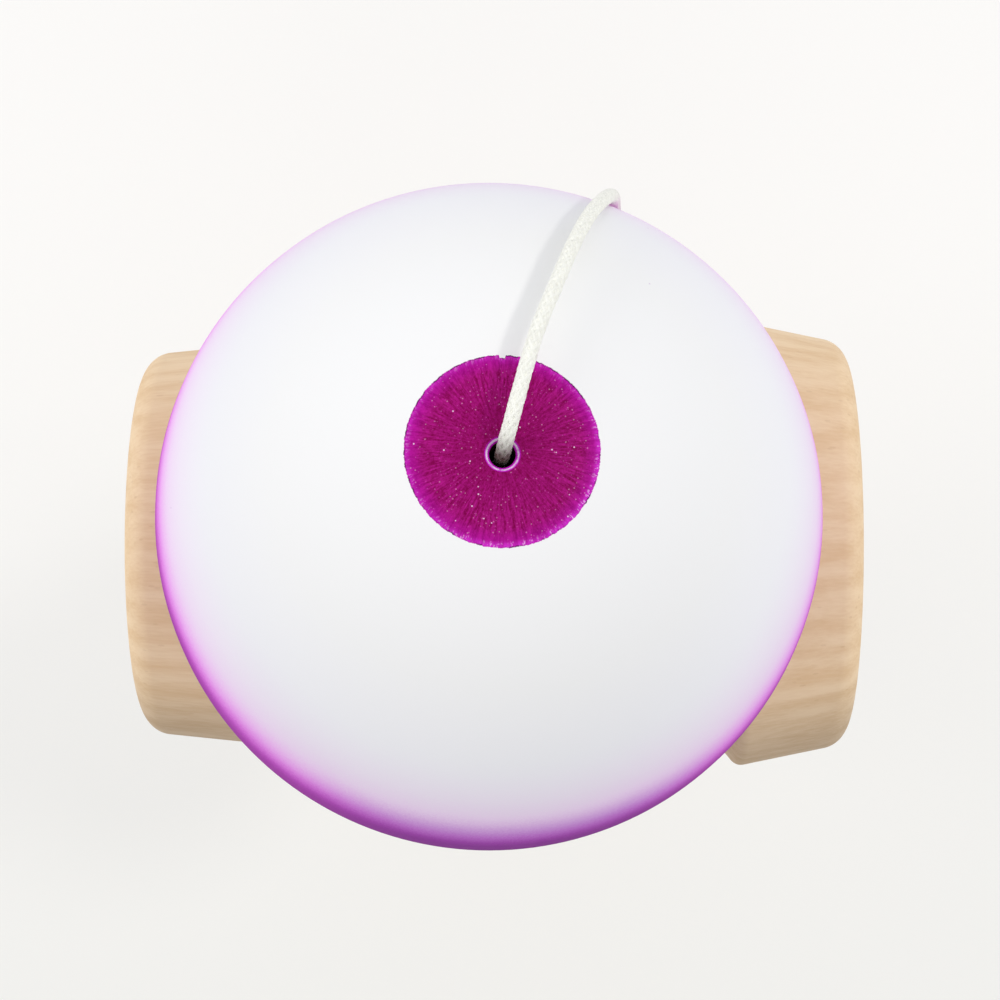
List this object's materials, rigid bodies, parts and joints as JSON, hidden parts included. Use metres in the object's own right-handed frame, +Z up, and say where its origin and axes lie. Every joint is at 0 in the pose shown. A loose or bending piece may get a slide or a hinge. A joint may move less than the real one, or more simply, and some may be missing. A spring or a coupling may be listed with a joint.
{
  "type": "cup and ball toy",
  "caption": "Wooden cup and ball toy: turned handle with spike and base cup, cross-piece with a cup at each end, and a painted ball tied on by a string.",
  "frame": {"origin": "centre of the base cup's rim, on the surface that the toy stands on", "axes": "+Z up along the handle, +X towards the big cup, the string's hole in the cross-piece faces -Y"},
  "size_m": [0.0728, 0.06, 0.1831],
  "materials": {
    "beech": "bare sanded beech",
    "ball_paint": "wood with satin paint, white fading to purple, purple patch round the string hole",
    "string": "braided off-white string",
    "bead": "moulded off-white plastic"
  },
  "bodies": {
    "handle": {"handle": "beech", "handle_knot": "string", "string_handle_end": "string"},
    "cross_piece": {"cross_piece": "beech", "string": "string"},
    "string_end": {"bead": "bead", "ball_knot": "string", "string_ball_end": "string"},
    "ball": {"ball": "ball_paint"}
  },
  "joints": [
    {"name": "cross_piece_pull", "type": "slide", "parent": "handle", "child": "cross_piece", "axis": [0, 0, 1], "range_m": [0, 0.06], "deforming": ["string_handle_end"]},
    {"name": "ball_lift", "type": "slide", "parent": "cross_piece", "child": "string_end", "axis": [0, 0, 1], "range_m": [0, 0.25], "deforming": ["string"]},
    {"name": "ball_spin", "type": "hinge", "parent": "string_end", "child": "ball", "pos_m": [0, 0, 0.1507], "axis": [0.0523, 0.0984, 0.9938], "continuous": true}
  ]
}
